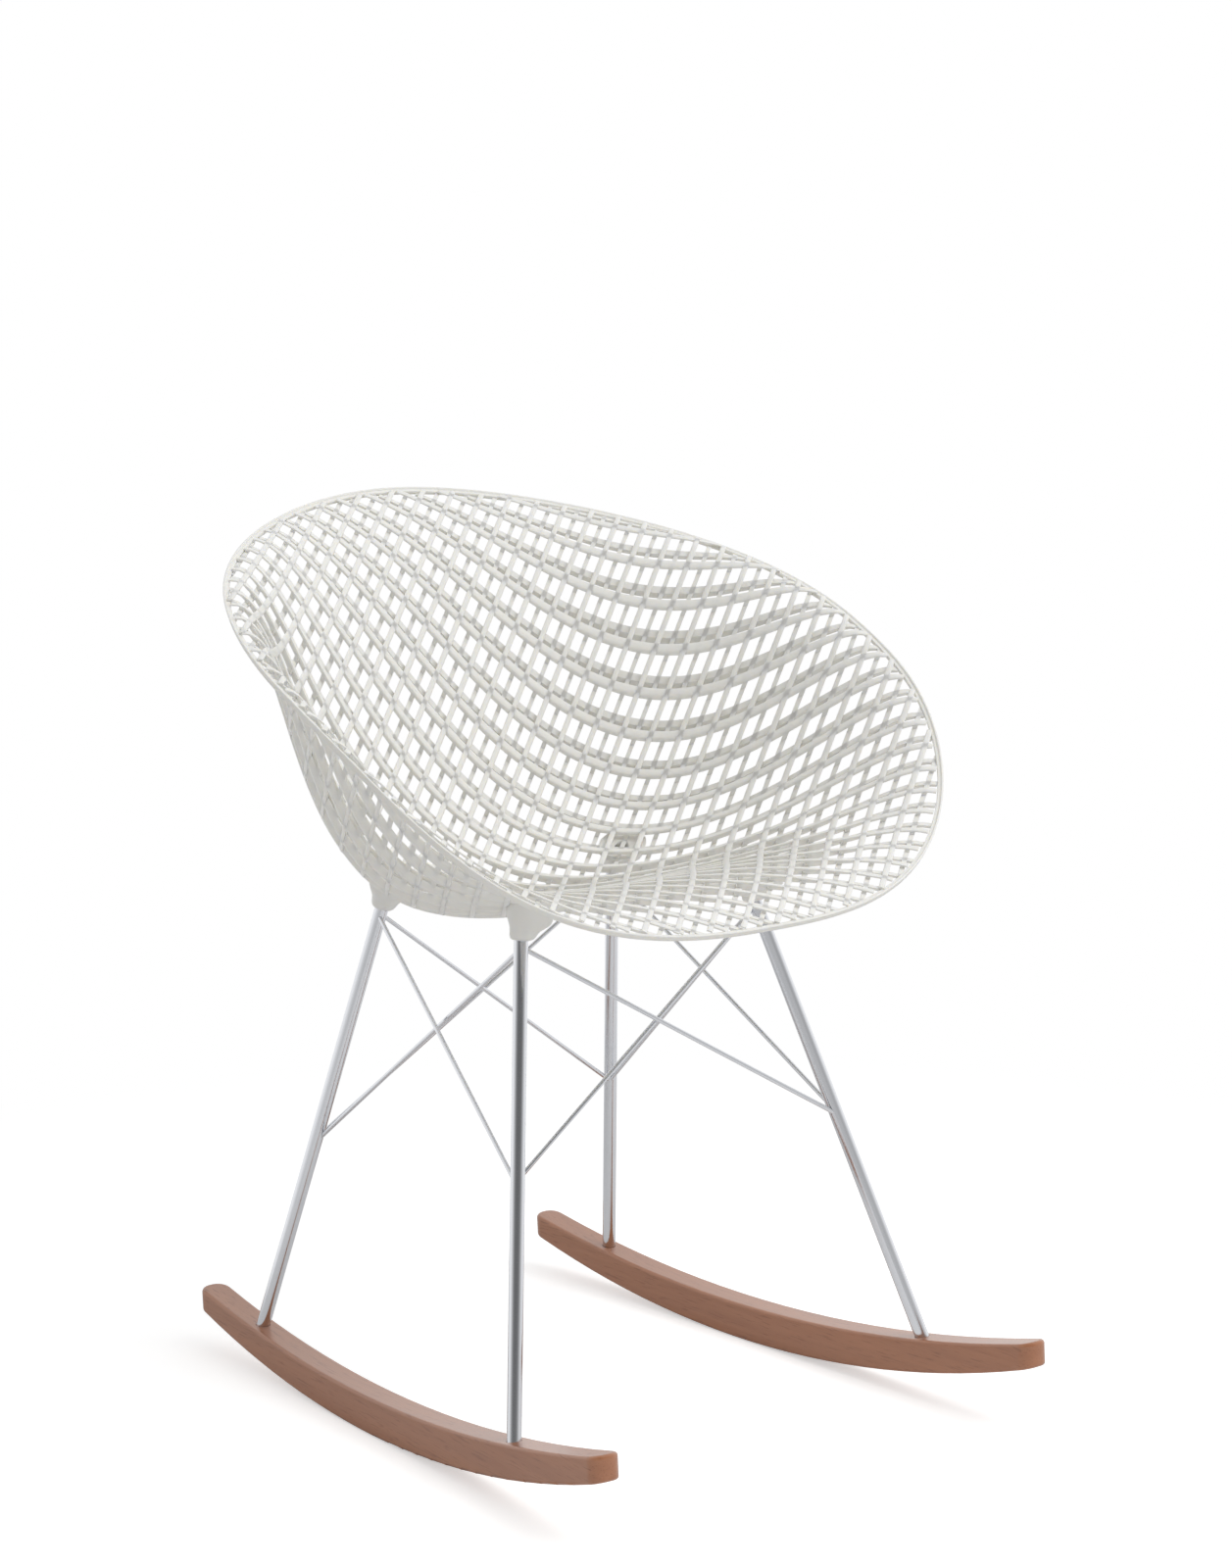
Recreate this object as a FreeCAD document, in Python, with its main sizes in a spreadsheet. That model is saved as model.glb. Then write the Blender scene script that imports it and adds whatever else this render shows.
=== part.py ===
import FreeCAD, Part
import Sketcher
import math
import os
from FreeCAD import Vector, Rotation, Placement

doc = FreeCAD.newDocument("rocking_chair")

# Driving sizes in millimetres and degrees
SIZES = {
    "shell_half_width": 306.5,
    "shell_half_length": 332.5,
    "shell_depth": 206.5,
    "deepest_point": 18.0,
    "front_fullness": 0.2,
    "back_fullness": 0.07,
    "arm_rise": 51.0,
    "arm_centre": -73.0,
    "shell_tilt": 28.36,
    "shell_setback": -2.2,
    "boss_reach": 45.0,
    "shell_thickness": 16.5,
    "rim_thickness": 6.5,
    "rocker_radius": 1254.0,
    "rocker_top_radius": 1671.6,
    "rocker_mid_height": 34.0,
    "rocker_width": 28.0,
    "rocker_front_length": 329.0,
    "rocker_back_length": 356.4,
    "rocker_half_gauge": 207.2,
    "rocker_toe": 3.33,
    "rocker_tilt": 2.78,
    "end_rounding": 12.5,
    "edge_rounding": 3.0,
    "leg_diameter": 12.5,
    "leg_length": 418.7,
    "front_foot_forward": 240.05,
    "front_lean_in": 0.2447,
    "front_lean_back": 0.2845,
    "rear_foot_back": 196.35,
    "rear_lean_in": 0.1744,
    "rear_lean_forward": 0.2819,
    "front_node": 214.1,
    "rear_node": 188.0,
    "top_node": 412.7,
    "brace_diameter": 4.0,
    "socket_depth": 14.0,
    "bore_clearance": 0.3,
    "boss_radius": 8.7,
    "boss_flare": 18.3,
    "boss_height": 23.4,
    "seat_floor": 16.0,
    "screw_diameter": 6.0,
    "screw_grip": 22.0,
    "screw_head": 11.0,
}

sheet = doc.addObject("Spreadsheet::Sheet", "dims")
for row, (name, value) in enumerate(SIZES.items(), start=1):
    sheet.set("A%d" % row, name)
    sheet.set("B%d" % row, str(value))
    sheet.setAlias("B%d" % row, name)
doc.recompute()


def size(name):
    return float(sheet.get(name))


# Each leg end: foot position along the chair, lean inward and lean back per millimetre of height
def end_sizes(end):
    if end == "front":
        return -size("front_foot_forward"), size("front_lean_in"), size("front_lean_back")
    return size("rear_foot_back"), size("rear_lean_in"), -size("rear_lean_forward")


ENDS = ("front", "rear")
SIDES = {"left": -1.0, "right": 1.0}


def rocker_top(y):
    """Height of the rocker's top above the floor."""
    tilt = math.radians(size("rocker_tilt"))
    r = size("rocker_top_radius")
    out = size("rocker_mid_height") + r - size("rocker_radius")
    d = y - out * math.sin(tilt)
    return size("rocker_radius") + out * math.cos(tilt) - math.sqrt(r * r - d * d)


def leg_line(end, side):
    """Foot point on the rocker's top and the unit vector up the leg."""
    y, lean_in, lean_back = end_sizes(end)
    s = SIDES[side]
    x = size("rocker_half_gauge") - y * math.tan(math.radians(size("rocker_toe")))
    foot = Vector(s * x, y, rocker_top(y))
    return foot, Vector(-s * lean_in, lean_back, 1.0).normalize()


def up_leg(end, side, distance):
    foot, up = leg_line(end, side)
    return foot + up * distance


def along(base, direction):
    return Placement(base, Rotation(Vector(0, 0, 1), direction))


def cylinder(label, radius, height, base, direction):
    obj = doc.addObject("Part::Cylinder", label)
    obj.setExpression("Radius", radius)
    obj.setExpression("Height", height)
    obj.Placement = along(base, direction)
    return obj


def straight(label, radius, base, tip):
    """A round bar between two points."""
    obj = doc.addObject("Part::Cylinder", label)
    obj.setExpression("Radius", radius)
    obj.Height = (tip - base).Length
    obj.Placement = along(base, tip - base)
    return obj


def cut(label, base, tools):
    """The base with every tool taken away."""
    tool = tools[0]
    if len(tools) > 1:
        tool = doc.addObject("Part::MultiFuse", label + "_tools")
        tool.Shapes = tools
    obj = doc.addObject("Part::Cut", label)
    obj.Base = base
    obj.Tool = tool
    return obj


nodes = {}


def keep(name, obj):
    obj.Label = name
    nodes[name] = obj


# Seat shell
def shell_frame():
    """Middle of the rim plane, the way up the plane and the mould's draw. The seat stands so high that
    its inner face is boss_reach from the tops of the legs, front and rear on average."""
    tilt = math.radians(size("shell_tilt"))
    up_back = Vector(0, math.cos(tilt), math.sin(tilt))
    deeper = Vector(0, math.sin(tilt), -math.cos(tilt))
    tops = [up_leg(end, "left", size("leg_length")) for end in ENDS]
    back = (tops[0].y + tops[1].y) / 2 + size("shell_setback")
    centre = Vector(0, back, tops[0].z + size("shell_depth"))
    for _ in range(12):
        reach = 0.0
        for top in tops:
            v = top - centre
            reach += (v.dot(deeper) - depth(v.x, v.dot(up_back))) / 2
        centre.z += (size("boss_reach") - reach) * math.cos(tilt)
    return centre, up_back, deeper


def roundness(t):
    return 2.5 if t < 0 else 1.95


def outline(t):
    """Half width of the rim at the distance t up the rim plane."""
    n = roundness(t)
    tau = min(1.0, abs(t) / size("shell_half_length"))
    return size("shell_half_width") * (1.0 - tau ** n) ** (1.0 / n)


def fall(t, centre, front, back):
    reach = back - centre if t > centre else front + centre
    return min(1.0, abs(t - centre) / reach)


def depth(x, t):
    """Depth of the seat's inner surface below the rim plane: the spine's depth, shared out
    across the width by a curve that is boxy in front and narrower behind, less the arms' rise."""
    half = size("shell_half_length")
    deepest = size("deepest_point")
    away = fall(t, deepest, half, half)
    away *= 1.0 + size("back_fullness" if t > deepest else "front_fullness") * (1.0 - away)
    spine = size("shell_depth") * math.cos(math.pi / 2 * away) ** 2
    arm = fall(t, size("arm_centre"), half, half)
    rise = size("arm_rise") * (1.0 - arm * arm) ** 1.6
    wide = outline(t)
    s2 = min(1.0, abs(x) / wide) ** 2 if wide > 1e-6 else 1.0
    tau = t / half
    across = (1.0 - s2) * (1.0 + (0.59 - 1.07 * tau) * s2 + (0.52 - 1.87 * tau) * s2 ** 2
                           + (2.31 * tau - 2.7) * s2 ** 3)
    return spine * across - rise * s2


def inside(p, q):
    """Point of the rim plane for p and q in -1 to 1, a square pulled out to the rim."""
    a = p * math.sqrt(1.0 - q * q / 2)
    b = q * math.sqrt(1.0 - p * p / 2)
    r = math.hypot(a, b)
    if r < 1e-9:
        return 0.0, 0.0, 0.0
    n = roundness(b)
    k = ((abs(a) / r) ** n + (abs(b) / r) ** n) ** (-1.0 / n)
    return a * k * size("shell_half_width"), b * k * size("shell_half_length"), r


def shell_points(offset_full, offset_rim, steps):
    centre, up_back, deeper = shell_frame()
    rows = []
    for i in range(steps + 1):
        row = []
        for j in range(steps + 1):
            x, t, r = inside(2.0 * i / steps - 1, 2.0 * j / steps - 1)
            h = depth(x, t)
            e = 2.0
            xs, ts = x * 0.985, t * 0.985
            gx = (depth(xs + e, ts) - depth(xs - e, ts)) / (2 * e)
            gt = (depth(xs, ts + e) - depth(xs, ts - e)) / (2 * e)
            off = offset_full + (offset_rim - offset_full) * r ** 2
            n = Vector(-gx, -gt, 1.0).normalize() * off
            row.append(centre + Vector(x + n.x, 0, 0) + up_back * (t + n.y) + deeper * (h + n.z))
        rows.append(row)
    return rows


def skin(points):
    surface = Part.BSplineSurface()
    surface.interpolate(points)
    return surface.toShape()


def shell_solid(steps=36):
    full, rim = size("shell_thickness"), size("rim_thickness")
    upper = skin(shell_points(0.0, 0.0, steps))
    lower = skin(shell_points(full, rim, steps))
    faces = [upper, lower]
    for a in upper.Edges:
        b = min(lower.Edges, key=lambda e: e.valueAt(mid(e)).distanceToPoint(a.valueAt(mid(a))))
        faces.append(Part.makeRuledSurface(a, b))
    sewn = Part.Shell(faces)
    sewn.sewShape()
    solid = Part.Solid(sewn)
    if solid.Volume < 0:
        solid.reverse()
    return solid, upper


def mid(edge):
    return (edge.FirstParameter + edge.LastParameter) / 2


def boss(base, up):
    """A flared socket turned about the leg's line."""
    r0, r1, h = size("boss_radius"), size("boss_flare"), size("boss_height")
    top = 70.0
    a, b = Vector(r0, 0, 0), Vector(r0 + (r1 - r0) * 0.44, 0, h * 0.53)
    c, d = Vector(r1, 0, h), Vector(r1 + 2, 0, top)
    side = Part.BSplineCurve()
    side.interpolate([a, b, c])
    edges = [
        Part.makeLine(Vector(0, 0, 0), a),
        side.toShape(),
        Part.makeLine(c, d),
        Part.makeLine(d, Vector(0, 0, top)),
        Part.makeLine(Vector(0, 0, top), Vector(0, 0, 0)),
    ]
    solid = Part.Face(Part.Wire(edges)).revolve(Vector(0, 0, 0), Vector(0, 0, 1), 360)
    solid.Placement = along(base, up)
    return solid


shape, inner_skin = shell_solid()
centre, up_back, deeper = shell_frame()
room = inner_skin.extrude(deeper * -500)
clearance = size("bore_clearance")
places = [(end, side) for end in ENDS for side in SIDES]
seat_top = {}
for end, side in places:
    foot, up = leg_line(end, side)
    base = up_leg(end, side, size("leg_length"))
    shape = shape.fuse(boss(base, up).cut(room))
    hit = Part.makeLine(base, base + up * 200).common(room)
    seat_top[end, side] = min(v.Point.sub(base).dot(up) for v in hit.Vertexes)
for end, side in places:
    foot, up = leg_line(end, side)
    base = up_leg(end, side, size("leg_length"))
    hole = Part.makeCylinder(size("screw_diameter") / 2 + clearance, seat_top[end, side] + 20)
    hole.Placement = along(base - up * 10, up)
    seat = Part.makeCylinder(size("screw_head") / 2 + 0.7, 60)
    seat.Placement = along(base + up * size("seat_floor"), up)
    shape = shape.cut(hole).cut(seat)
seat_shell = doc.addObject("Part::Feature", "seat_shell")
seat_shell.Shape = shape
keep("seat_shell", seat_shell)


# Rockers
def rocker(side):
    """A crescent drawn about its own middle, then leaned back and toed in. Its lower edge is drawn
    as two arcs of one circle that meet where the chair touches the floor at rest."""
    s = SIDES[side]
    body = doc.addObject("PartDesign::Body", "rocker_bar_" + side)
    plane = [f for f in body.Origin.OriginFeatures if f.Role == "YZ_Plane"][0]
    sketch = body.newObject("Sketcher::SketchObject", "profile_" + side)
    sketch.AttachmentSupport = [(plane, "")]
    sketch.MapMode = "FlatFace"
    rb, rt = size("rocker_radius"), size("rocker_top_radius")
    hm = size("rocker_mid_height")
    ahead, behind = -size("rocker_front_length"), size("rocker_back_length")

    def bottom(y):
        return Vector(y, rb - math.sqrt(rb * rb - y * y), 0)

    def top(y):
        return Vector(y, hm + rt - math.sqrt(rt * rt - y * y), 0)

    def arc(f, start, stop):
        return sketch.addGeometry(Part.Arc(f(start), f((start + stop) / 2), f(stop)), False)

    touch = rb * math.sin(math.radians(size("rocker_tilt")))
    low = arc(bottom, ahead, touch)
    low_back = arc(bottom, touch, behind)
    high = arc(top, ahead, behind)
    front = sketch.addGeometry(Part.LineSegment(bottom(ahead), top(ahead)), False)
    back = sketch.addGeometry(Part.LineSegment(bottom(behind), top(behind)), False)
    for line, under, start_end in ((front, low, 1), (back, low_back, 2)):
        sketch.addConstraint(Sketcher.Constraint("Coincident", under, start_end, line, 1))
        sketch.addConstraint(Sketcher.Constraint("Coincident", high, start_end, line, 2))
        sketch.addConstraint(Sketcher.Constraint("Vertical", line))
    sketch.addConstraint(Sketcher.Constraint("Coincident", low, 2, low_back, 1))
    sketch.addConstraint(Sketcher.Constraint("Coincident", low, 3, low_back, 3))
    sketch.addConstraint(Sketcher.Constraint("PointOnObject", low, 3, -2))
    sketch.addConstraint(Sketcher.Constraint("PointOnObject", high, 3, -2))
    named = [
        ("Radius", (low,), rb, "rocker_radius"),
        ("Radius", (high,), rt, "rocker_top_radius"),
        ("DistanceY", (-1, 1, low, 3), rb, "rocker_radius"),
        ("DistanceY", (-1, 1, high, 3), hm + rt, "rocker_mid_height + dims.rocker_top_radius"),
        ("DistanceX", (front, 1, -1, 1), -ahead, "rocker_front_length"),
        ("DistanceX", (-1, 1, back, 1), behind, "rocker_back_length"),
        ("DistanceX", (-1, 1, low, 2), touch, "rocker_radius * sin(dims.rocker_tilt * 1 deg)"),
    ]
    for kind, refs, value, alias in named:
        index = sketch.addConstraint(Sketcher.Constraint(kind, *refs, value))
        sketch.setExpression("Constraints[%d]" % index, "dims." + alias)
    pad = body.newObject("PartDesign::Pad", "bar_" + side)
    pad.Profile = sketch
    pad.SideType = "Symmetric"
    pad.setExpression("Length", "dims.rocker_width")
    doc.recompute()
    upright = [n + 1 for n, e in enumerate(pad.Shape.Edges)
               if len(e.Vertexes) == 2 and abs(e.tangentAt(e.FirstParameter).z) > 0.99]
    ends = body.newObject("PartDesign::Fillet", "ends_" + side)
    ends.Base = (pad, ["Edge%d" % n for n in upright])
    ends.setExpression("Radius", "dims.end_rounding")
    doc.recompute()
    longest = max(e.Length for e in ends.Shape.Edges)
    rims = [n + 1 for n, e in enumerate(ends.Shape.Edges) if e.Length > 0.3 * longest]
    edges = body.newObject("PartDesign::Fillet", "edges_" + side)
    edges.Base = (ends, ["Edge%d" % n for n in rims])
    edges.setExpression("Radius", "dims.edge_rounding")
    lean = Rotation(Vector(1, 0, 0), -size("rocker_tilt"))
    toe = Rotation(Vector(0, 0, 1), s * size("rocker_toe"))
    hub = Vector(s * size("rocker_half_gauge"), 0, rb)
    turn = toe.multiply(lean)
    body.Placement = Placement(hub - turn.multVec(Vector(0, 0, rb)), turn)
    doc.recompute()
    tools = []
    for end in ENDS:
        foot, up = leg_line(end, side)
        tools.append(cylinder("socket_%s_%s" % (end, side), "dims.leg_diameter / 2 + dims.bore_clearance",
                              "dims.socket_depth + 20", foot - up * size("socket_depth"), up))
        tools.append(cylinder("passage_%s_%s" % (end, side), "2.5 + dims.bore_clearance", "40 mm",
                              foot - up * 45, up))
        tools.append(cylinder("recess_%s_%s" % (end, side), "4.6 mm", "30 mm",
                              foot - up * (size("socket_depth") + 5 + 30), up))
    return cut("rocker_" + side, body, tools)


for side in SIDES:
    keep("rocker_" + side, rocker(side))


# Legs with a tapped hole at each end
def leg(end, side):
    foot, up = leg_line(end, side)
    base = foot - up * (size("socket_depth") - clearance)
    top = up_leg(end, side, size("leg_length") - clearance)
    bar = straight("bar_%s_%s" % (end, side), "dims.leg_diameter / 2", base, top)
    upper = cylinder("tapped_%s_%s" % (end, side), "dims.screw_diameter / 2 + 0.1", "30 mm",
                     top - up * 28, up)
    lower = cylinder("threads_%s_%s" % (end, side), "2.6 mm", "24 mm", base - up * 2, up)
    return cut("leg_%s_%s" % (end, side), bar, [upper, lower])


for end, side in places:
    keep("leg_%s_%s" % (end, side), leg(end, side))


# Braces: two crossing wires on each of the four sides
def brace(name, low, high, offset):
    """A wire from the low point of one leg to the high point of the next."""
    start = up_leg(low[0], low[1], size(low[0] + "_node"))
    stop = up_leg(high[0], high[1], size("top_node"))
    start, stop = start + offset, stop + offset
    wire = straight("wire_" + name, "dims.brace_diameter / 2", start, stop)
    tools = []
    for place, tag in ((low, "a"), (high, "b")):
        foot, up = leg_line(*place)
        tools.append(cylinder("end_%s_%s" % (name, tag), "dims.leg_diameter / 2 + 0.15", "460 mm", foot, up))
    return cut("brace_" + name, wire, tools)


half_gap = Vector(0, size("brace_diameter") / 2 + 0.15, 0)
side_gap = Vector(size("brace_diameter") / 2 + 0.15, 0, 0)
for end in ENDS:
    keep("brace_%s_falling_left" % end,
         brace(end + "_falling_left", (end, "left"), (end, "right"), half_gap))
    keep("brace_%s_falling_right" % end,
         brace(end + "_falling_right", (end, "right"), (end, "left"), half_gap * -1))
for side, s in SIDES.items():
    keep("brace_%s_falling_front" % side,
         brace(side + "_falling_front", ("front", side), ("rear", side), side_gap * s))
    keep("brace_%s_falling_back" % side,
         brace(side + "_falling_back", ("rear", side), ("front", side), side_gap * -s))


# Screws
def screw(place, tip, up, radius, length, head):
    """A plain pan-head screw with its tip low and its head high."""
    shank = Part.makeCylinder(radius, length)
    cap = Part.makeCylinder(head / 2, 3.5, Vector(0, 0, length))
    solid = shank.fuse(cap).removeSplitter()
    solid.Placement = along(tip, up)
    return solid


seat_screws = []
foot_screws = []
for end, side in places:
    foot, up = leg_line(end, side)
    grip = size("screw_grip")
    floor = up_leg(end, side, size("leg_length") + size("seat_floor") + 0.1)
    seat_screws.append(screw("seat", floor - up * (size("seat_floor") + grip), up,
                             size("screw_diameter") / 2, size("seat_floor") + grip, size("screw_head")))
    under = foot - up * (size("socket_depth") + 5.1)
    foot_screws.append(screw("foot", under + up * 22, up * -1, 2.5, 22, 8.6))
for name, solids in (("seat_screws", seat_screws), ("rocker_screws", foot_screws)):
    group = doc.addObject("Part::Feature", name)
    group.Shape = Part.makeCompound(solids)
    keep(name, group)

doc.recompute()
os.makedirs("parts", exist_ok=True)
for obj in doc.Objects:
    if "Invalid" in obj.State or "Error" in obj.State:
        raise RuntimeError("%s is in state %s" % (obj.Name, obj.State))
for name, obj in nodes.items():
    made = obj.Shape
    if made.isNull() or not made.isValid():
        raise RuntimeError("%s has no valid shape" % name)
    made.exportStep("parts/%s.step" % name)
    print("%-32s solids %d volume %.0f" % (name, len(made.Solids), made.Volume))
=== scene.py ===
import math

import bpy
import numpy as np
from mathutils import Matrix, Vector


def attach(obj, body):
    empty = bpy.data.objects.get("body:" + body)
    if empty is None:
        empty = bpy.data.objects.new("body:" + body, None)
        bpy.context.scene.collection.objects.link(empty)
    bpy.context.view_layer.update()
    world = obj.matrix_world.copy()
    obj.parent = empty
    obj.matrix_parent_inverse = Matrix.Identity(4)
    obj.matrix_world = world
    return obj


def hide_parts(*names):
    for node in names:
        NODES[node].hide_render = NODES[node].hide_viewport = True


bl_info = {
    "name": "Lattice Bucket Rocking Chair",
    "version": (1, 0, 0),
    "blender": (4, 5, 0),
    "location": "View3D > Sidebar > Chair",
    "description": "Dresses the packed rocking chair: lattice seat, bright rods, stained rockers and studio",
    "category": "Object",
}

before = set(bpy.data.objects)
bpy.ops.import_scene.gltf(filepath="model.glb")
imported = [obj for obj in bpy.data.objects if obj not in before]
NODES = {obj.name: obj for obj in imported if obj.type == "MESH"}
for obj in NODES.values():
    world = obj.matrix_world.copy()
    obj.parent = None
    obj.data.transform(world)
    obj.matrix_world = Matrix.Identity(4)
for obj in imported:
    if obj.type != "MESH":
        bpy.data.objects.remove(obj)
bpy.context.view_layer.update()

# Seat frame: where the rim plane's middle stands, and how far the plane leans back
SEAT_CENTRE = np.array([0.0, -0.0243, 0.6295])
SEAT_TILT = math.radians(28.36)
ACROSS = np.array([1.0, 0.0, 0.0])
UP_BACK = np.array([0.0, math.cos(SEAT_TILT), math.sin(SEAT_TILT)])
DEEPER = np.array([0.0, math.sin(SEAT_TILT), -math.cos(SEAT_TILT)])

# Legs: the length from foot point to boss, then each leg's foot point and its lean in X and Y per metre
# of height
LEG_LENGTH = 0.4187
LEGS = {
    "front_left": ((-0.2212, -0.24005, 0.0541), (0.2447, 0.2845)),
    "front_right": ((0.2212, -0.24005, 0.0541), (-0.2447, 0.2845)),
    "rear_left": ((-0.1958, 0.19635, 0.0426), (0.1744, -0.2819)),
    "rear_right": ((0.1958, 0.19635, 0.0426), (-0.1744, -0.2819)),
}

# Camera: where it stands, and its three axes
CAMERA_PLACE = Vector((-2.1572, -3.05317, 1.23749))
CAMERA_FORWARD = Vector((0.57969306, 0.79429196, -0.18181375))
CAMERA_RIGHT = Vector((0.80563332, -0.59213504, -0.01819481))
CAMERA_UP = Vector((0.12211028, 0.13592781, 0.98316464))


# Settings a user would change

class SeatSettings(bpy.types.PropertyGroup):
    """Sizes and colour of the moulded seat."""

    half_width: bpy.props.FloatProperty(
        name="Half width", description="Half the rim's width across the seat",
        default=0.304, subtype="DISTANCE", unit="LENGTH")
    half_length: bpy.props.FloatProperty(
        name="Half length", description="Half the rim's length up the leaning rim plane",
        default=0.330, subtype="DISTANCE", unit="LENGTH")
    depth: bpy.props.FloatProperty(
        name="Depth", description="Depth of the bucket below the rim plane",
        default=0.2065, subtype="DISTANCE", unit="LENGTH")
    deepest: bpy.props.FloatProperty(
        name="Deepest point", description="How far up the rim plane the deepest point lies",
        default=0.018, subtype="DISTANCE", unit="LENGTH")
    front_fullness: bpy.props.FloatProperty(
        name="Front fullness", description="How early the seat falls away in front", default=0.2)
    back_fullness: bpy.props.FloatProperty(
        name="Back fullness", description="How early the seat rises behind", default=0.07)
    arm_rise: bpy.props.FloatProperty(
        name="Arm rise", description="How far the rim bows up at the arms",
        default=0.051, subtype="DISTANCE", unit="LENGTH")
    arm_centre: bpy.props.FloatProperty(
        name="Arm centre", description="Where up the rim plane the arms are highest",
        default=-0.073, subtype="DISTANCE", unit="LENGTH")
    cell_across: bpy.props.FloatProperty(
        name="Cell width", description="Cell diagonal across the seat",
        default=0.03575, subtype="DISTANCE", unit="LENGTH")
    cell_along: bpy.props.FloatProperty(
        name="Cell height", description="Cell diagonal up the seat",
        default=0.03587, subtype="DISTANCE", unit="LENGTH")
    cell_up: bpy.props.FloatProperty(
        name="Cells up", description="How far the cells are moved up the seat",
        default=0.0005, subtype="DISTANCE", unit="LENGTH")
    cell_side: bpy.props.FloatProperty(
        name="Cells sideways", description="How far the cells are moved across the seat",
        default=-0.0014, subtype="DISTANCE", unit="LENGTH")
    draw_lean: bpy.props.FloatProperty(
        name="Draw lean", description="How far the mould's draw leans up the seat", default=0.062)
    inner_width: bpy.props.FloatProperty(
        name="Inner bar width", description="Width of a bar of the inner layer",
        default=0.0050, subtype="DISTANCE", unit="LENGTH")
    outer_width: bpy.props.FloatProperty(
        name="Outer bar width", description="Width of a bar of the outer layer",
        default=0.0040, subtype="DISTANCE", unit="LENGTH")
    inner_share: bpy.props.FloatProperty(
        name="Inner share", description="Depth of an inner bar, as a share of the seat's thickness",
        default=0.22)
    outer_share: bpy.props.FloatProperty(
        name="Outer share", description="Depth of an outer bar, as a share of the seat's thickness",
        default=0.42)
    post_inset: bpy.props.FloatProperty(
        name="Post inset", description="How far a post's ends lie inside the seat's two faces",
        default=0.00135, subtype="DISTANCE", unit="LENGTH")
    thickness: bpy.props.FloatProperty(
        name="Thickness", description="Thickness of both layers together in the middle",
        default=0.0165, subtype="DISTANCE", unit="LENGTH")
    rim_thickness: bpy.props.FloatProperty(
        name="Rim thickness", description="Thickness of the seat at its rim",
        default=0.0065, subtype="DISTANCE", unit="LENGTH")
    rim_height: bpy.props.FloatProperty(
        name="Rim height", description="Height of the rim band, square to the seat",
        default=0.0048, subtype="DISTANCE", unit="LENGTH")
    rim_width: bpy.props.FloatProperty(
        name="Rim width", description="Width of the rim band",
        default=0.0052, subtype="DISTANCE", unit="LENGTH")
    colour: bpy.props.FloatVectorProperty(
        name="Colour", description="Warm white of the plastic", subtype="COLOR",
        size=4, default=(0.880, 0.868, 0.825, 1.0), min=0.0, max=1.0)


class FrameSettings(bpy.types.PropertyGroup):
    """Colours of the rods, screws and rockers."""

    rod_colour: bpy.props.FloatVectorProperty(
        name="Rod colour", description="Plated steel", subtype="COLOR",
        size=4, default=(0.80, 0.81, 0.84, 1.0), min=0.0, max=1.0)
    wood_light: bpy.props.FloatVectorProperty(
        name="Wood light", description="Pale part of the stained grain", subtype="COLOR",
        size=4, default=(0.455, 0.19, 0.092, 1.0), min=0.0, max=1.0)
    wood_dark: bpy.props.FloatVectorProperty(
        name="Wood dark", description="Dark part of the stained grain", subtype="COLOR",
        size=4, default=(0.36, 0.143, 0.068, 1.0), min=0.0, max=1.0)


class StageSettings(bpy.types.PropertyGroup):
    """Light and camera."""

    key_power: bpy.props.FloatProperty(
        name="Key light", description="Power of the large soft lamp", default=66.0,
        subtype="POWER", unit="POWER")
    sky_strength: bpy.props.FloatProperty(
        name="Sky", description="Even light from all round", default=0.525)
    floor_glow: bpy.props.FloatProperty(
        name="Floor glow", description="Lift of the floor near the chair where it is seen", default=0.50)
    floor_near: bpy.props.FloatProperty(
        name="Floor fade", description="Where the floor starts to fade to plain white", default=0.60,
        subtype="DISTANCE", unit="LENGTH")
    lens: bpy.props.FloatProperty(
        name="Lens", description="Focal length of the camera in millimetres", default=98.91)


# Shader maths

class Value:
    """A socket that Python's operators can be used on; each adds one Math node."""

    def __init__(self, tree, socket):
        self.tree = tree
        self.socket = socket

    def _math(self, operation, first, second):
        node = self.tree.nodes.new("ShaderNodeMath")
        node.operation = operation
        for entry, value in zip(node.inputs, (first, second)):
            feed(self.tree, entry, value)
        return Value(self.tree, node.outputs[0])

    def __add__(self, other):
        return self._math("ADD", self, other)

    def __radd__(self, other):
        return self._math("ADD", other, self)

    def __sub__(self, other):
        return self._math("SUBTRACT", self, other)

    def __rsub__(self, other):
        return self._math("SUBTRACT", other, self)

    def __mul__(self, other):
        return self._math("MULTIPLY", self, other)

    def __rmul__(self, other):
        return self._math("MULTIPLY", other, self)

    def clip(self):
        return self._math("MINIMUM", self, 1.0)


def feed(tree, entry, value):
    """Links a socket to an input, or sets the input's own value."""
    if isinstance(value, Value):
        tree.links.new(value.socket, entry)
    else:
        entry.default_value = value


# Number of Texture Coordinate's Object output
OBJECT_OUTPUT = 3


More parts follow.
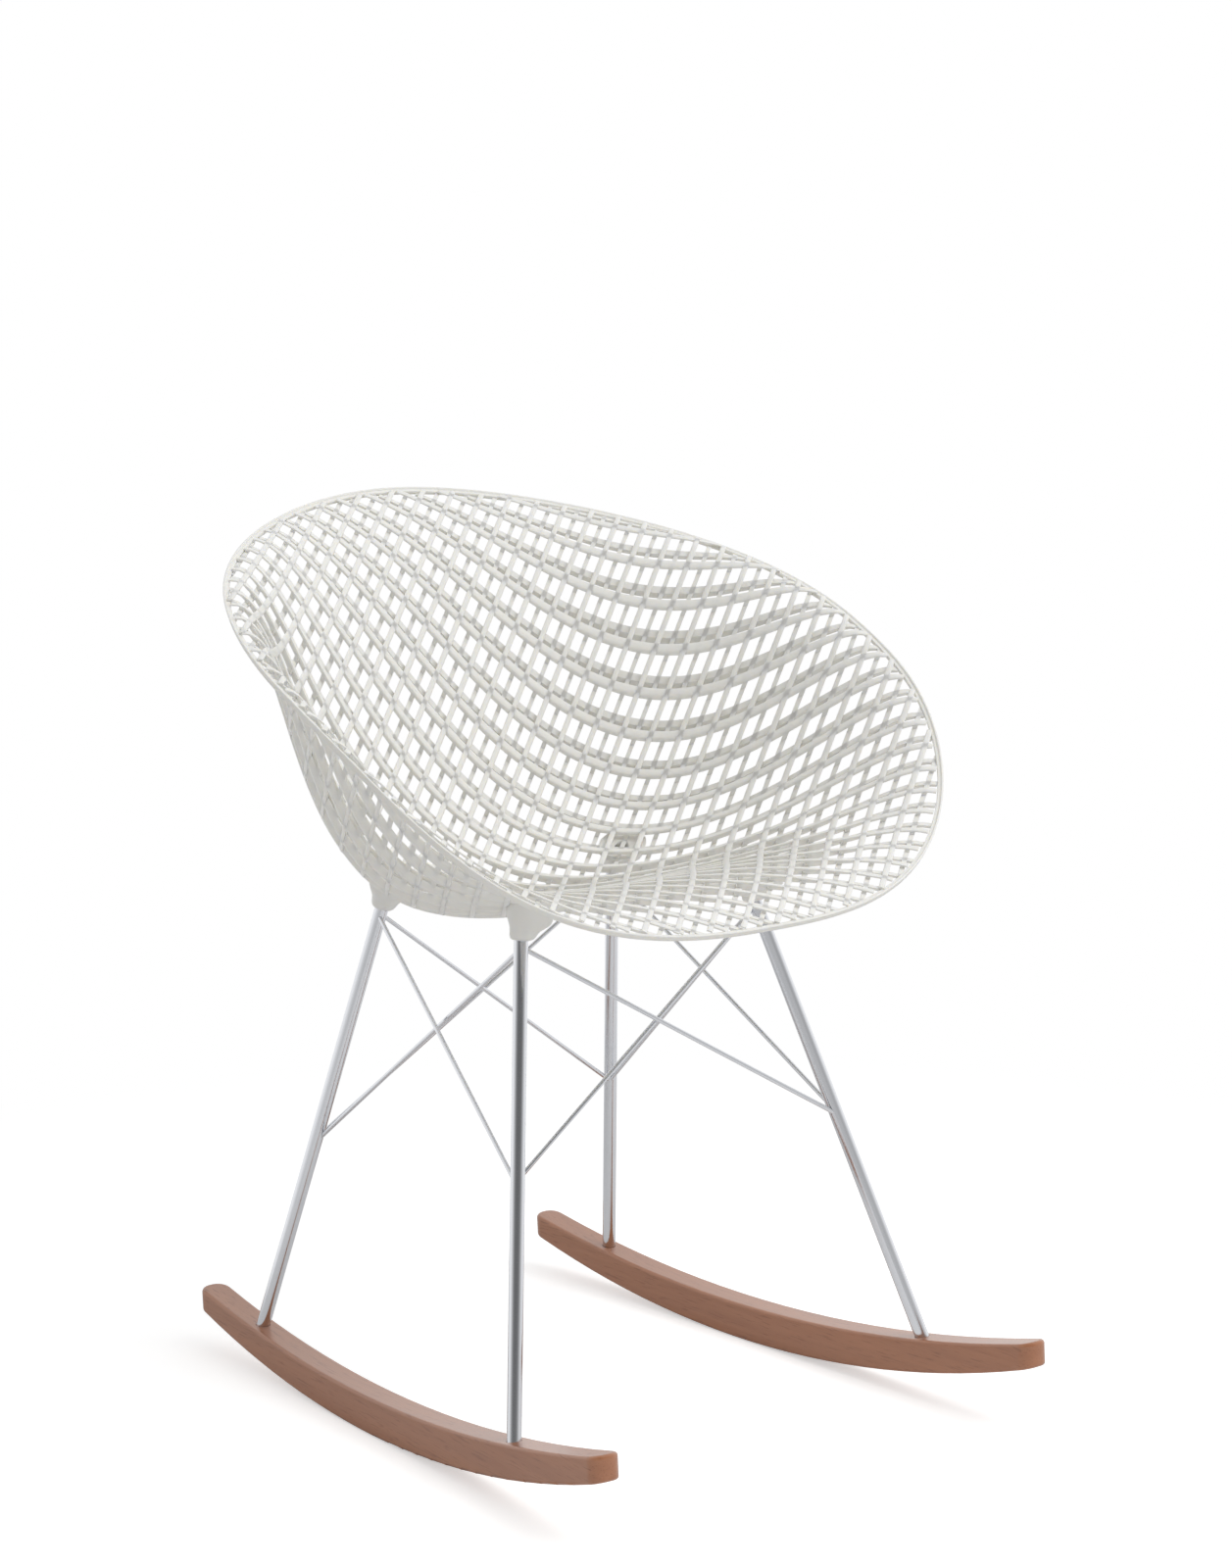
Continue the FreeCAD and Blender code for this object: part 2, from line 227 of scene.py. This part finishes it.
class Finish:
    """A node material under construction."""

    def __init__(self, name):
        self.material = bpy.data.materials.new(name)
        self.material.use_nodes = True
        self.tree = self.material.node_tree
        self.tree.nodes.clear()

    def add(self, kind, inputs, output=0):
        """Any node: its type, and the values or links of its sockets."""
        node = self.tree.nodes.new(kind)
        for key, value in inputs.items():
            feed(self.tree, node.inputs[key], value)
        return Value(self.tree, node.outputs[output])

    def place(self, scale=(1.0, 1.0, 1.0)):
        """Object coordinates, scaled."""
        where = self.add("ShaderNodeTexCoord", {}, OBJECT_OUTPUT)
        return self.add("ShaderNodeMapping", {"Vector": where, "Scale": scale})

    def noise(self, where, scale, detail, roughness=0.5):
        return self.add("ShaderNodeTexNoise", {
            "Vector": where, "Scale": scale, "Detail": detail, "Roughness": roughness})

    def ramp(self, factor, first, second):
        """Grey between two stops, each a position and a level."""
        node = self.tree.nodes.new("ShaderNodeValToRGB")
        for element, (place, level) in zip(node.color_ramp.elements, (first, second)):
            element.position = place
            element.color = (level, level, level, 1.0)
        feed(self.tree, node.inputs["Fac"], factor)
        return Value(self.tree, node.outputs[0])

    def blend(self, factor, first, second):
        """A colour between two, by Mix, whose colours are inputs 6 and 7 and output 2."""
        node = self.tree.nodes.new("ShaderNodeMix")
        node.data_type = "RGBA"
        feed(self.tree, node.inputs[0], factor)
        feed(self.tree, node.inputs[6], first)
        feed(self.tree, node.inputs[7], second)
        return Value(self.tree, node.outputs[2])

    def bump(self, height, strength, distance):
        return self.add("ShaderNodeBump", {"Height": height, "Strength": strength, "Distance": distance})

    def finish(self, inputs):
        """The surface shader and the output."""
        self.add_output(self.add("ShaderNodeBsdfPrincipled", inputs))
        return self.material

    def add_output(self, shader):
        out = self.tree.nodes.new("ShaderNodeOutputMaterial")
        self.tree.links.new(shader.socket, out.inputs["Surface"])


def shell_plastic(colour):
    """Satin moulded plastic: a fine mould texture and a faint drift in tone."""
    f = Finish("shell_plastic")
    where = f.place()
    drift = f.noise(where, 9.0, 2.0)
    grain = f.noise(where, 900.0, 2.0)
    cooler = (colour[0] * 0.97, colour[1] * 0.975, colour[2] * 0.985, 1.0)
    return f.finish({
        "Base Color": f.blend(drift, cooler, colour),
        "Roughness": 0.30 + grain * 0.14,
        "Normal": f.bump(grain, 0.05, 0.0004),
        "IOR": 1.49,
        "Subsurface Weight": 0.35,
        "Subsurface Radius": (1.0, 0.88, 0.66),
        "Subsurface Scale": 0.004,
    })


def bright_steel(colour):
    """Plated steel: a smooth mirror whose tone and gloss drift faintly."""
    f = Finish("bright_steel")
    where = f.place()
    drift = f.noise(where, 30.0, 3.0)
    fine = f.noise(where, 90.0, 1.0)
    return f.finish({
        "Base Color": f.blend(drift, (colour[0] * 0.94, colour[1] * 0.95, colour[2] * 0.96, 1.0), colour),
        "Metallic": 1.0,
        "Roughness": 0.12 + drift * 0.05 + fine * 0.02,
    })


def screw_steel():
    """Duller plated steel for the screws."""
    f = Finish("screw_steel")
    fine = f.noise(f.place(), 500.0, 2.0)
    return f.finish({
        "Base Color": (0.52, 0.52, 0.54, 1.0),
        "Metallic": 1.0,
        "Roughness": 0.28 + fine * 0.12,
        "Normal": f.bump(fine, 0.04, 0.0002),
    })


def rocker_wood(light, dark):
    """Stained wood under a satin lacquer: long streaks along the bar, short dark pores, faint bands."""
    f = Finish("rocker_wood")
    streaks = f.noise(f.place((70.0, 3.2, 110.0)), 1.0, 5.0, 0.62)
    bands = f.noise(f.place((14.0, 0.9, 22.0)), 1.0, 3.0, 0.5)
    pores = f.noise(f.place((620.0, 26.0, 620.0)), 1.0, 2.0, 0.5)
    pore = f.ramp(pores, (0.30, 1.0), (0.42, 0.0))
    tone = streaks * 0.65 + bands * 0.35
    spread = f.ramp(tone, (0.34, 0.0), (0.68, 1.0))
    ground = f.blend(spread, dark, light)
    deep = (dark[0] * 0.55, dark[1] * 0.5, dark[2] * 0.5, 1.0)
    return f.finish({
        "Base Color": f.blend(pore * 0.45, ground, deep),
        "Roughness": 0.36 + streaks * 0.12,
        "Specular IOR Level": 0.1,
        "Coat Weight": 0.85,
        "Coat Roughness": 0.20,
        "Coat IOR": 1.7,
        "Normal": f.bump(streaks - pore * 0.5, 0.10, 0.0006),
    })


# Mesh helpers

def loop_faces(rows, columns, first=0):
    """Quads between neighbouring rows of a grid whose columns close into a ring."""
    i = np.arange(rows - 1)[:, None] * columns
    j = np.arange(columns)[None, :]
    k = (j + 1) % columns
    return np.stack([i + j, i + k, i + columns + k, i + columns + j], -1).reshape(-1, 4) + first


def make_piece(name, points, quads, caps, material, stands_for, sharp=35.0):
    """A closed mesh from whole arrays, riding on the one body."""
    mesh = bpy.data.meshes.new(name)
    corners = [quads.reshape(-1)]
    starts = [np.arange(len(quads)) * 4]
    at = len(quads) * 4
    for cap in caps:
        corners.append(np.asarray(cap))
        starts.append(np.array([at]))
        at += len(cap)
    corners = np.concatenate(corners).astype(np.int32)
    starts = np.concatenate(starts).astype(np.int32)
    mesh.vertices.add(len(points))
    mesh.vertices.foreach_set("co", points.astype(np.float32).reshape(-1))
    mesh.loops.add(len(corners))
    mesh.loops.foreach_set("vertex_index", corners)
    mesh.polygons.add(len(starts))
    mesh.polygons.foreach_set("loop_start", starts)
    mesh.update(calc_edges=True)
    mesh.validate()
    mesh.shade_smooth()
    mesh.set_sharp_from_angle(angle=math.radians(sharp))
    mesh.materials.append(material)
    piece = bpy.data.objects.new(name, mesh)
    bpy.context.scene.collection.objects.link(piece)
    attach(piece, "root")
    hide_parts(stands_for)
    return piece


# Seat surface

class SeatForm:
    """The bucket as a depth below the leaning rim plane, in metres."""

    # Depth at which the leaning draw line through (x, t) stands over t
    DRAW_LEVEL = 0.2

    def __init__(self, s):
        self.s = s

    def roundness(self, t):
        """Power of the rim's outline: squarer in front, rounder behind."""
        return np.where(t < 0, 2.5, 1.95)

    def inside(self, x, t):
        """0 at the middle of the rim plane and 1 on the rim: the n-th root of |x/W|^n + |t/T|^n."""
        n = self.roundness(t)
        return (np.abs(x / self.s.half_width) ** n + np.abs(t / self.s.half_length) ** n) ** (1.0 / n)

    def half_width(self, t):
        n = self.roundness(t)
        tau = np.minimum(1.0, np.abs(t) / self.s.half_length)
        return self.s.half_width * (1.0 - tau ** n) ** (1.0 / n)

    def depth(self, x, t):
        """Spine depth shared out across the width, less the arms' rise times s squared, where s is x over
        the rim's half width. The spine is a squared cosine of the distance from the deepest point. The
        share is (1 - s^2) times a cubic in s^2 that is boxy in front and narrow behind. The rise is a
        bump."""
        s = self.s
        behind = t > s.deepest
        away = np.where(behind, (t - s.deepest) / (s.half_length - s.deepest),
                        (s.deepest - t) / (s.half_length + s.deepest))
        away = np.clip(away, 0, 1)
        away = away * (1.0 + np.where(behind, s.back_fullness, s.front_fullness) * (1.0 - away))
        spine = s.depth * np.cos(math.pi / 2 * away) ** 2
        arm = np.where(t > s.arm_centre, (t - s.arm_centre) / (s.half_length - s.arm_centre),
                       (s.arm_centre - t) / (s.half_length + s.arm_centre))
        rise = s.arm_rise * (1.0 - np.clip(arm, 0, 1) ** 2) ** 1.6
        s2 = np.minimum(1.0, np.abs(x) / np.maximum(self.half_width(t), 1e-6)) ** 2
        tau = np.clip(t / s.half_length, -1, 1)
        share = (1.0 - s2) * (1.0 + (0.59 - 1.07 * tau) * s2 + (0.52 - 1.87 * tau) * s2 ** 2
                              + (2.31 * tau - 2.7) * s2 ** 3)
        return spine * share - rise * s2

    def slope(self, x, t):
        """Central differences, taken a little inside the rim."""
        e, shrink = 0.002, 0.985
        x, t = x * shrink, t * shrink
        gx = (self.depth(x + e, t) - self.depth(x - e, t)) / (2 * e)
        gt = (self.depth(x, t + e) - self.depth(x, t - e)) / (2 * e)
        return gx, gt

    def stretch(self, x, t):
        """How much longer a step along the mould's draw is than the same step square to the wall."""
        gx, gt = self.slope(x, t)
        return np.sqrt(1.0 + gx ** 2 + gt ** 2)

    def wall(self, x, t):
        """Thickness of the seat, thinning to the rim."""
        r = np.minimum(1.0, self.inside(x, t))
        return self.s.thickness + (self.s.rim_thickness - self.s.thickness) * r ** 2

    def hang(self, x, t, sink, share):
        """Where the draw line through (x, t) meets the skin that lies sink + share * wall under the seat,
        measured square to it. The foot of that square is found by repeated half steps. Gives the foot,
        and the place and depth of the meeting point."""
        foot_x, foot_t = x + 0.0 * t, t + 0.0 * x
        half_steps = 26
        for _ in range(half_steps):
            gx, gt = self.slope(foot_x, foot_t)
            below = sink + share * self.wall(foot_x, foot_t)
            k = below / np.sqrt(1.0 + gx ** 2 + gt ** 2)
            h = self.depth(foot_x, foot_t) + k
            at = t + self.s.draw_lean * (h - self.DRAW_LEVEL)
            foot_x = 0.5 * (foot_x + x + gx * k)
            foot_t = 0.5 * (foot_t + at + gt * k)
        return foot_x, foot_t, at, h

    def place(self, x, t, h):
        return SEAT_CENTRE + x[..., None] * ACROSS + t[..., None] * UP_BACK + h[..., None] * DEEPER

    def local(self, point):
        v = np.asarray(point) - SEAT_CENTRE
        return float(v @ ACROSS), float(v @ UP_BACK), float(v @ DEEPER)


# Pieces of the seat

# More cells than there are from the seat's middle to its rim
MOST_CELLS = 18


def bar_line(s, sign, number, x):
    """Height t of one bar's line: t/cell_along + sign * x/cell_across = number, moved to the cells' start."""
    return s.cell_up + s.cell_along * (number - sign * (x - s.cell_side) / s.cell_across)


def bar_layer(form, name, shift, outer, material):
    """Two families of bars whose sides stand along the mould's draw. A bar follows bar_line for a whole
    number + shift, and its free face is rounded at both edges. Each corner of its profile lies sink +
    share * wall under the seat's inner face; the first and the last are its far side, inside the wall."""
    s = form.s
    width = s.outer_width if outer else s.inner_width
    across = np.array([-0.5, -0.5, -0.44, -0.30, 0.30, 0.44, 0.5, 0.5]) * width
    sink = np.array([0.0, 0.0010, 0.0003, 0.0, 0.0, 0.0003, 0.0010, 0.0])
    deep = np.array([1.0, 0.0, 0.0, 0.0, 0.0, 0.0, 0.0, 1.0])
    share = deep * s.inner_share
    if outer:
        sink = -sink
        share = 1.0 - deep * s.outer_share
    samples, fewest, margin, end = 801, 10, 1.1, 0.992
    slant, step = 1.42, 0.006
    points, quads, caps = [], [], []
    total = 0
    fine = np.linspace(-s.half_width, s.half_width, samples)
    for sign in (1.0, -1.0):
        normal = np.array([sign / s.cell_across, 1.0 / s.cell_along])
        normal /= np.linalg.norm(normal)
        for k in range(-MOST_CELLS, MOST_CELLS + 1):
            line = bar_line(s, sign, k + shift, fine)
            close = np.abs(line) < s.half_length * margin
            foot_x, foot_t, _, _ = form.hang(fine[close], line[close], 0.0, 0.8 if outer else 0.0)
            held = fine[close][form.inside(foot_x, foot_t) < end]
            if len(held) < fewest:
                continue
            count = max(4, int((held[-1] - held[0]) * slant / step))
            x = np.linspace(held[0], held[-1], count)[:, None]
            t = bar_line(s, sign, k + shift, x)
            xx = x + across * normal[0]
            _, _, at, h = form.hang(xx, t + across * normal[1], sink, share)
            points.append(form.place(xx, at, h).reshape(-1, 3))
            quads.append(loop_faces(count, 8, total)[:, ::-1])
            ring = np.arange(8)
            caps.append(ring + total)
            caps.append((ring + total + (count - 1) * 8)[::-1])
            total += count * 8
    quads = np.concatenate(quads)
    if outer:
        quads = quads[:, ::-1]
        caps = [cap[::-1] for cap in caps]
    return make_piece(name, np.concatenate(points), quads, caps, material, "seat_shell")


def bar_posts(form, name, material):
    """Short posts that join the two layers wherever an inner bar crosses an outer one. A post's plan is
    the rhombus the two bars share, and it runs from inside the inner bar to inside the outer bar."""
    s = form.s
    a = np.arange(-MOST_CELLS, MOST_CELLS + 1)
    first, second = (v.ravel() for v in np.meshgrid(a, a + 0.5, indexing="ij"))
    plus = np.concatenate([first, second])
    minus = np.concatenate([second, first])
    wide_plus = np.concatenate([np.full(len(first), s.inner_width), np.full(len(first), s.outer_width)])
    wide_minus = s.inner_width + s.outer_width - wide_plus
    x = s.cell_side + (plus - minus) * s.cell_across / 2
    t = s.cell_up + (plus + minus) * s.cell_along / 2
    margin, end, half = 1.05, 0.975, 0.46
    close = form.inside(x, t) < margin
    foot_x, foot_t, _, _ = form.hang(x[close], t[close], 0.0, 0.5)
    kept = np.flatnonzero(close)[form.inside(foot_x, foot_t) < end]
    x, t, wide_plus, wide_minus = x[kept], t[kept], wide_plus[kept], wide_minus[kept]
    slant = np.hypot(s.cell_across, s.cell_along) / 2
    step_x, step_t = s.cell_across / 2 / slant, s.cell_along / 2 / slant
    u = np.array([-half, half, half, -half])[None, :] * wide_plus[:, None]
    v = np.array([-half, -half, half, half])[None, :] * wide_minus[:, None]
    px, pt = x[:, None] + (u - v) * step_x, t[:, None] + (u + v) * step_t
    _, _, top_t, top_h = form.hang(px, pt, s.post_inset, 0.0)
    _, _, low_t, low_h = form.hang(px, pt, -s.post_inset, 1.0)
    points = np.stack([form.place(px, top_t, top_h), form.place(px, low_t, low_h)], 1).reshape(-1, 3)
    box = np.array([(0, 1, 5, 4), (1, 2, 6, 5), (2, 3, 7, 6), (3, 0, 4, 7), (3, 2, 1, 0), (4, 5, 6, 7)])
    quads = (np.arange(len(x))[:, None, None] * 8 + box).reshape(-1, 4)
    return make_piece(name, points, quads, [], material, "seat_shell")


def rim_band(form, material):
    """A band carried round the rim. Its profile lies across the rim: a raised bead near the outer edge,
    a shallow groove, an inner ledge, and a plain flank set in a little under the bead."""
    s = form.s
    steps, smoothings, lift = 900, 6, 0.12
    a = np.linspace(0, 2 * math.pi, steps, endpoint=False)
    c, d = np.sin(a), np.cos(a)
    n = form.roundness(d)
    reach = (np.abs(c) ** n + np.abs(d) ** n) ** (-1.0 / n)
    x, t = c * reach * s.half_width, d * reach * s.half_length
    centre = form.place(x, t, form.depth(x, t))
    gx, gt = form.slope(x, t)
    outward = gx[:, None] * -ACROSS + gt[:, None] * -UP_BACK + DEEPER
    for _ in range(smoothings):
        outward = (np.roll(outward, 1, 0) + 2 * outward + np.roll(outward, -1, 0)) / 4
    along = np.roll(centre, -1, 0) - np.roll(centre, 1, 0)
    along /= np.linalg.norm(along, axis=1)[:, None]
    outward -= (outward * along).sum(1)[:, None] * along
    outward /= np.linalg.norm(outward, axis=1)[:, None]
    inward = np.cross(outward, along)
    middle = SEAT_CENTRE - centre
    inward *= np.sign((inward * middle).sum(1))[:, None]
    w, z = s.rim_width, s.rim_height
    profile = np.array([
        (-0.32, 0.24), (-0.44, 0.16), (-0.49, 0.03), (-0.45, -0.10), (-0.34, -0.17), (-0.22, -0.15),
        (-0.13, -0.06), (-0.10, 0.12), (-0.02, 0.20), (0.32, 0.18), (0.44, 0.22), (0.50, 0.34),
        (0.50, 0.94), (0.44, 1.0), (-0.26, 1.0), (-0.32, 0.94),
    ]) * np.array([w, z]) + np.array([0.0, lift * z])
    points = (centre[:, None, :] + profile[:, 0][None, :, None] * inward[:, None, :]
              + profile[:, 1][None, :, None] * outward[:, None, :])
    columns = len(profile)
    quads = loop_faces(steps + 1, columns) % (steps * columns)
    return make_piece("seat_rim", points.reshape(-1, 3), quads, [], material,
                      "seat_shell", 50.0)


def leg_boss(form, name, foot, lean, material):
    """A funnel from the leg's top into the seat. Rings stand along the mould's draw; the radius grows
    from the leg's to the root's, the top follows the seat a little below its inner face, and a round
    well for the screw goes down its middle."""
    up = np.array([lean[0], lean[1], 1.0])
    up /= np.linalg.norm(up)
    base = np.array(foot) + up * LEG_LENGTH
    xb, tb, hb = form.local(base)
    sides = 48
    a = np.linspace(0, 2 * math.pi, sides, endpoint=False)
    heights = np.array([0.0, 0.0, 0.5, 1.5, 3.0, 5.0, 7.5, 10.0, 13.0, 16.0, 20.0, 23.5, 27.0]) * 0.001
    radii = np.array([0.0, 6.6, 7.9, 9.2, 10.2, 11.0, 11.6, 12.3, 13.3, 14.9, 17.2, 18.9, 20.4]) * 0.001
    inward = -math.copysign(0.001, xb)
    slide = -0.003 if tb > 0 else 0.001
    well, well_depth, top_sink = 0.0060, 0.016, 0.0085
    edge_width, edge_drop = 0.0005, 0.0006
    rings = []
    tilt_x, tilt_t = float(up @ ACROSS), float(up @ UP_BACK)
    for height, radius in zip(heights, radii):
        grown = height / heights[-1]
        x = xb + inward * grown + radius * np.cos(a)
        t = tb + slide * grown + radius * np.sin(a)
        lean_h = (1.0 - grown) * ((x - xb) * tilt_x + (t - tb) * tilt_t)
        rings.append((x, t, np.full(sides, hb - height) + lean_h))
    x, t, _ = rings[-1]
    cx, ct = xb + inward, tb + slide

    def top(x, t):
        return form.depth(x, t) + top_sink * form.stretch(x, t)

    rings.append((x, t, top(x, t)))
    for radius in (0.0194, 0.0165, 0.0125, 0.0090, well + edge_width):
        rings.append((cx + radius * np.cos(a), ct + radius * np.sin(a),
                      top(cx + radius * np.cos(a), ct + radius * np.sin(a))))
    wx, wt = cx + well * np.cos(a), ct + well * np.sin(a)
    rings.append((wx, wt, top(wx, wt) + edge_drop))
    floor = np.full(sides, hb - well_depth)
    rings.append((wx, wt, floor))
    rings.append((cx + 0.0 * wx, ct + 0.0 * wt, floor))
    points = np.concatenate([form.place(x, t, h) for x, t, h in rings])
    return make_piece(name, points, loop_faces(len(rings), sides), [], material,
                      "seat_shell", 40.0)


# Operators

class ChairOperator:
    """Shared options."""

    bl_options = {"REGISTER", "UNDO"}


class CHAIR_OT_seat(ChairOperator, bpy.types.Operator):
    """Make the lattice seat: two layers of bars, the posts between them, the rim and the four leg bosses"""

    bl_idname = "chair.seat"
    bl_label = "Lattice Seat"

    def execute(self, context):
        s = context.scene.chair_seat
        form = SeatForm(s)
        plastic = shell_plastic(tuple(s.colour))
        bar_layer(form, "seat_inner_bars", 0.0, False, plastic)
        bar_layer(form, "seat_outer_bars", 0.5, True, plastic)
        bar_posts(form, "seat_posts", plastic)
        rim_band(form, plastic)
        for name, (foot, lean) in LEGS.items():
            leg_boss(form, "seat_boss_" + name, foot, lean, plastic)
        return {"FINISHED"}


class CHAIR_OT_frame(ChairOperator, bpy.types.Operator):
    """Give the rods, wires, screws and rockers their finishes"""

    bl_idname = "chair.frame"
    bl_label = "Rods and Rockers"

    def execute(self, context):
        s = context.scene.chair_frame
        steel = bright_steel(tuple(s.rod_colour))
        wood = rocker_wood(tuple(s.wood_light), tuple(s.wood_dark))
        dull = screw_steel()
        for name, node in NODES.items():
            if name.startswith(("leg_", "brace_")):
                finish = steel
            elif name.endswith("_screws"):
                finish = dull
            elif name.startswith("rocker_"):
                finish = wood
            else:
                continue
            for place in node.material_slots:
                place.material = finish
        return {"FINISHED"}


class CHAIR_OT_stage(ChairOperator, bpy.types.Operator):
    """Set up the pale floor, the soft light and the camera"""

    bl_idname = "chair.stage"
    bl_label = "Studio"

    def execute(self, context):
        s = context.scene.chair_stage
        floor_and_sky(s)
        lamps(s)
        camera(s)
        context.scene.view_settings.view_transform = "Standard"
        return {"FINISHED"}


# Studio

def ray_kind(tree, *kinds):
    """1 for rays of the given kinds, 0 for all others."""
    node = tree.nodes.new("ShaderNodeLightPath")
    total = 0.0
    for kind in kinds:
        total = Value(tree, node.outputs["Is %s Ray" % kind]) + total
    return total.clip()


def painted_reflection_room(tree, where, ceiling):
    """Painted reflection: the greys that only mirrors see, painted into the sky's and floor's shaders in
    place of a room.
    White behind the chair, grey towards the camera, and darker there above the horizon by the ceiling's
    share."""
    towards_camera, painted_reflection_grey = (-0.50, -0.866, 0.0), 0.45
    flat = tree.nodes.new("ShaderNodeVectorMath")
    flat.operation = "MULTIPLY"
    feed(tree, flat.inputs[0], where)
    flat.inputs[1].default_value = (1.0, 1.0, 0.0)

    def lean(vector, axis):
        unit = tree.nodes.new("ShaderNodeVectorMath")
        unit.operation = "NORMALIZE"
        tree.links.new(vector, unit.inputs[0])
        along = tree.nodes.new("ShaderNodeVectorMath")
        along.operation = "DOT_PRODUCT"
        tree.links.new(unit.outputs[0], along.inputs[0])
        along.inputs[1].default_value = axis
        return Value(tree, along.outputs["Value"])

    facing = smooth_step(tree, lean(flat.outputs[0], towards_camera), -0.5, 0.95)
    height = smooth_step(tree, lean(where.socket, (0.0, 0.0, 1.0)), 0.0, 0.42)
    return 1.0 - facing * (painted_reflection_grey + height * ceiling)


def smooth_step(tree, value, low, high):
    """0 below low and 1 above high, eased between them."""
    node = tree.nodes.new("ShaderNodeMapRange")
    node.interpolation_type = "SMOOTHSTEP"
    for key, entry in (("Value", value), ("From Min", low), ("From Max", high)):
        feed(tree, node.inputs[key], entry)
    return Value(tree, node.outputs[0])


def floor_and_sky(s):
    """A wide white floor that keeps the shadows near the chair, and a plain sky. The floor fades to plain
    white away from the chair, and only mirrors see the painted room's greys, a painted reflection in these
    shaders."""
    mesh = bpy.data.meshes.new("floor")
    reach, z, fade = 30.0, -0.0004, 0.6
    white, grey = (1.0, 1.0, 1.0, 1.0), (0.86, 0.86, 0.86, 1.0)
    corners = [(-reach, -reach, z), (reach, -reach, z), (reach, reach, z), (-reach, reach, z)]
    mesh.from_pydata(corners, [], [(0, 1, 2, 3)])
    floor = bpy.data.objects.new("floor", mesh)
    bpy.context.scene.collection.objects.link(floor)
    f = Finish("floor")
    where = f.add("ShaderNodeTexCoord", {}, OBJECT_OUTPUT)
    length = f.tree.nodes.new("ShaderNodeVectorMath")
    length.operation = "LENGTH"
    feed(f.tree, length.inputs[0], where)
    far = smooth_step(f.tree, Value(f.tree, length.outputs["Value"]), s.floor_near, s.floor_near + fade)
    seen = ray_kind(f.tree, "Camera", "Glossy", "Transmission")
    mirrored = ray_kind(f.tree, "Glossy")
    shade = f.add("ShaderNodeBsdfDiffuse", {"Color": grey})
    lifted = ray_kind(f.tree, "Camera", "Transmission")
    glow = f.add("ShaderNodeEmission", {"Color": white, "Strength": lifted * s.floor_glow})
    near = f.add("ShaderNodeAddShader", {0: shade, 1: glow})
    # Painted reflection: far from the chair, mirrors see the floor as the painted room's greys
    level = 1.0 - mirrored * (1.0 - painted_reflection_room(f.tree, where, ceiling=0.0))
    wall = f.add("ShaderNodeEmission", {"Color": white, "Strength": level})
    f.add_output(f.add("ShaderNodeMixShader", {0: far * seen, 1: near, 2: wall}))
    mesh.materials.append(f.material)
    world = bpy.data.worlds.new("sky")
    bpy.context.scene.world = world
    world.use_nodes = True
    tree = world.node_tree
    tree.nodes.clear()
    back = tree.nodes.new("ShaderNodeBackground")
    out = tree.nodes.new("ShaderNodeOutputWorld")
    around = tree.nodes.new("ShaderNodeTexCoord")
    seen = ray_kind(tree, "Camera", "Transmission")
    mirrored = ray_kind(tree, "Glossy")
    # Painted reflection: mirrors see the sky as the painted room's greys
    wall = painted_reflection_room(tree, Value(tree, around.outputs["Generated"]), ceiling=0.40)
    feed(tree, back.inputs["Color"], white)
    feed(tree, back.inputs["Strength"], s.sky_strength + seen * (1.0 - s.sky_strength)
         + mirrored * (wall - s.sky_strength))
    tree.links.new(back.outputs[0], out.inputs[0])


def lamps(s):
    """One large soft lamp above and in front, to the right of the camera. Mirrors do not see it."""
    data = bpy.data.lights.new("key", "AREA")
    data.shape = "RECTANGLE"
    data.size = data.size_y = 2.6
    data.energy = s.key_power
    lamp = bpy.data.objects.new("key", data)
    lamp.matrix_world = look_from(place=(0.9, -2.1, 3.2), target=(0.0, 0.0, 0.45))
    lamp.visible_glossy = False
    bpy.context.scene.collection.objects.link(lamp)


def look_from(place, target):
    """The matrix of a lamp at a place that shines at a target."""
    back = (Vector(place) - Vector(target)).normalized()
    right = Vector((0, 0, 1)).cross(back).normalized()
    up = back.cross(right)
    m = Matrix((right, up, back)).transposed().to_4x4()
    m.translation = Vector(place)
    return m


def camera(s):
    """The photograph's view: a long lens from the front left, a little above the chair."""
    data = bpy.data.cameras.new("camera")
    data.lens = s.lens
    data.sensor_width = 36.0
    data.clip_end = 100.0
    eye = bpy.data.objects.new("camera", data)
    m = Matrix((CAMERA_RIGHT, CAMERA_UP, -CAMERA_FORWARD)).transposed().to_4x4()
    m.translation = CAMERA_PLACE
    eye.matrix_world = m
    bpy.context.scene.collection.objects.link(eye)
    bpy.context.scene.camera = eye


# Panel and registration

class CHAIR_PT_panel(bpy.types.Panel):
    """Lists the chair's steps in the sidebar"""

    bl_idname = "CHAIR_PT_panel"
    bl_label = "Rocking Chair"
    bl_space_type = "VIEW_3D"
    bl_region_type = "UI"
    bl_category = "Chair"

    def draw(self, context):
        layout = self.layout
        for operator in OPERATORS:
            layout.operator(operator.bl_idname)


OPERATORS = (CHAIR_OT_seat, CHAIR_OT_frame, CHAIR_OT_stage)
GROUPS = {"chair_seat": SeatSettings, "chair_frame": FrameSettings, "chair_stage": StageSettings}


def register():
    for group in GROUPS.values():
        bpy.utils.register_class(group)
    for operator in OPERATORS:
        bpy.utils.register_class(operator)
    bpy.utils.register_class(CHAIR_PT_panel)
    for name, group in GROUPS.items():
        setattr(bpy.types.Scene, name, bpy.props.PointerProperty(type=group))


def unregister():
    for name in GROUPS:
        delattr(bpy.types.Scene, name)
    bpy.utils.unregister_class(CHAIR_PT_panel)
    for operator in reversed(OPERATORS):
        bpy.utils.unregister_class(operator)
    for group in reversed(list(GROUPS.values())):
        bpy.utils.unregister_class(group)


def main():
    register()
    bpy.ops.chair.seat()
    bpy.ops.chair.frame()
    bpy.ops.chair.stage()


if __name__ == "__main__":
    main()
